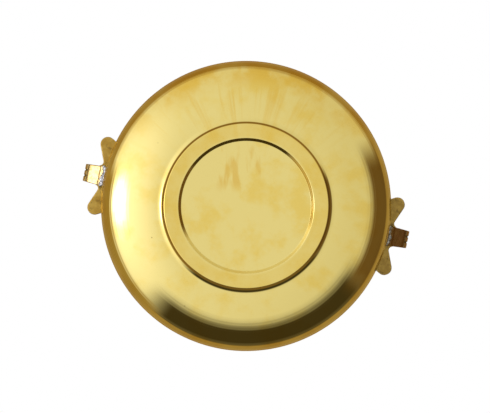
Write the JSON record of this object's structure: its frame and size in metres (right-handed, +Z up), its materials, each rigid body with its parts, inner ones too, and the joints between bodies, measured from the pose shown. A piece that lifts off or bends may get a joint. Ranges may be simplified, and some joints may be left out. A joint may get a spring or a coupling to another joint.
{
  "type": "urli bowl",
  "caption": "Wide shallow polished brass urli bowl on a low foot ring, with a cast loop handle between two flat leaf lobes on each side of the lip.",
  "frame": {"origin": "centre of the foot ring's resting plane", "axes": "+Z up out of the mouth, handles on +X and -X"},
  "size_m": [0.31, 0.2668, 0.0792],
  "materials": {
    "polished_brass": "polished",
    "cast_brass": "as cast, lightly tarnished",
    "solder": "dull grey soft solder"
  },
  "bodies": {
    "root": {"bowl": "polished_brass", "handle_left": "cast_brass", "handle_right": "cast_brass", "solder_left": "solder", "solder_right": "solder"}
  },
  "joints": []
}
